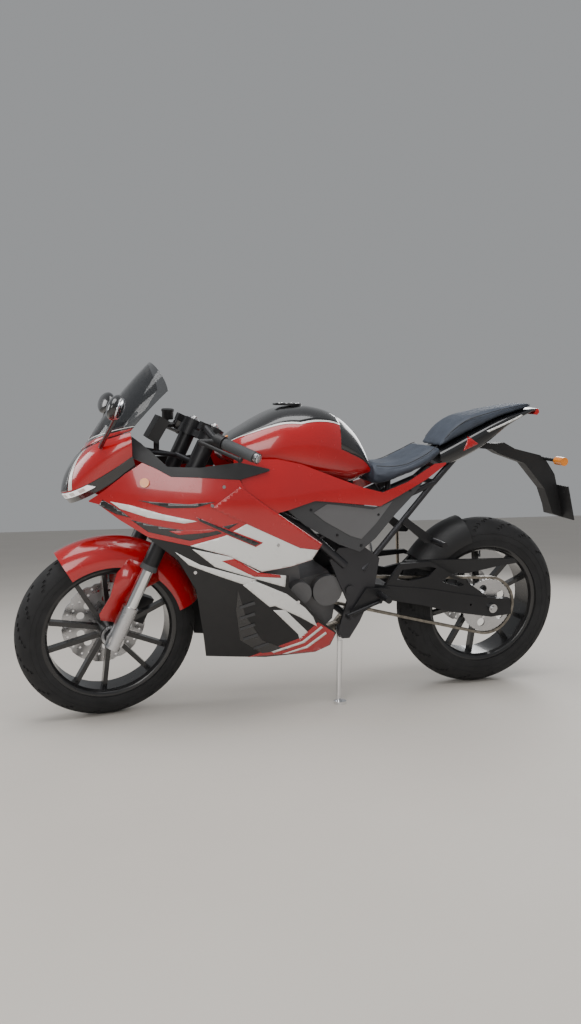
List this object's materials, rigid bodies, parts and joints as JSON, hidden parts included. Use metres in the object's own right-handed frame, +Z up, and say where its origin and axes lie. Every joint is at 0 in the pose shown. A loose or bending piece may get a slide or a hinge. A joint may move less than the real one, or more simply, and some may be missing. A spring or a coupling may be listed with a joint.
{
  "type": "sport motorcycle",
  "caption": "Faired sport motorcycle on its side stand, with steering, free wheels, folding stand and hinged fuel cap.",
  "frame": {"origin": "bottom centre of the parked bike's box, on the floor", "axes": "+X forward, +Y to the rider's left, +Z up; the bike leans 8 degrees to +Y on its side stand"},
  "size_m": [1.9779, 0.6656, 1.1486],
  "materials": {
    "dark_metal": "satin black paint",
    "black_metal": "satin black paint",
    "steel": "machined steel",
    "chrome": "polished chrome",
    "red_paint": "gloss red lacquer with black and white stripes",
    "gloss_black": "gloss black",
    "black_plastic": "matt black",
    "grey_plastic": "dark grey",
    "seat_cover": "grained blue-grey cover",
    "rubber": "ribbed",
    "tyre": "treaded",
    "red_lens": "red lens",
    "amber_lens": "amber lens",
    "clear_lens": "clear lens",
    "smoked_screen": "smoked"
  },
  "bodies": {
    "chassis": {"frame": "dark_metal", "engine": "dark_metal", "radiator": "black_plastic", "exhaust": "steel", "swingarm": "black_metal", "chain": "steel", "rear_guards": "black_plastic", "rear_shock": "black_metal", "rear_axle": "steel", "tank": "red_paint", "rider_seat": "seat_cover", "pillion_seat": "seat_cover", "tail_cowl": "gloss_black", "tail_light": "red_lens", "plate_hanger": "black_plastic", "turn_signals": "amber_lens", "side_panels": "red_paint", "frame_covers": "grey_plastic", "upper_fairings": "red_paint", "lower_fairings": "black_plastic", "nose_cowl": "red_paint", "headlights": "clear_lens", "headlight_mask": "gloss_black", "windscreen": "smoked_screen", "mirrors": "gloss_black", "cockpit_trim": "black_plastic", "instrument": "black_plastic", "foot_controls": "black_metal"},
    "steering": {"triple_clamps": "black_metal", "fork_tubes": "black_metal", "fork_stanchions": "chrome", "handlebars": "black_metal", "hand_controls": "rubber", "front_fender": "red_paint", "front_caliper": "black_metal", "front_axle": "black_metal"},
    "front_wheel": {"front_rim": "black_metal", "front_tyre": "tyre", "front_disc": "steel"},
    "rear_wheel": {"rear_rim": "black_metal", "rear_tyre": "tyre", "rear_disc": "steel", "sprocket": "steel"},
    "side_stand": {"side_stand": "chrome"},
    "fuel_cap": {"fuel_cap": "black_metal"}
  },
  "joints": [
    {"name": "steering", "type": "hinge", "parent": "chassis", "child": "steering", "pos_m": [0.4221, -0.01766, 0.79134], "axis": [-0.4213, 0.1261, 0.8981], "range_deg": [-37, 17]},
    {"name": "front_wheel_spin", "type": "hinge", "parent": "steering", "child": "front_wheel", "pos_m": [0.6989, -0.08177, 0.28772], "axis": [-0.1577, 0.965, -0.2095], "continuous": true},
    {"name": "rear_wheel_spin", "type": "hinge", "parent": "chassis", "child": "rear_wheel", "pos_m": [-0.65055, -0.0853, 0.31162], "axis": [-0.0002, 0.9903, -0.1392], "continuous": true},
    {"name": "side_stand_fold", "type": "hinge", "parent": "chassis", "child": "side_stand", "pos_m": [-0.07364, 0.01214, 0.24963], "axis": [0, 0.9997, 0.0242], "range_deg": [0, 95]},
    {"name": "fuel_cap_lid", "type": "hinge", "parent": "chassis", "child": "fuel_cap", "pos_m": [0.14548, 0.01453, 1.02079], "axis": [-0.0002, 0.9903, -0.1392], "range_deg": [0, 85]}
  ]
}
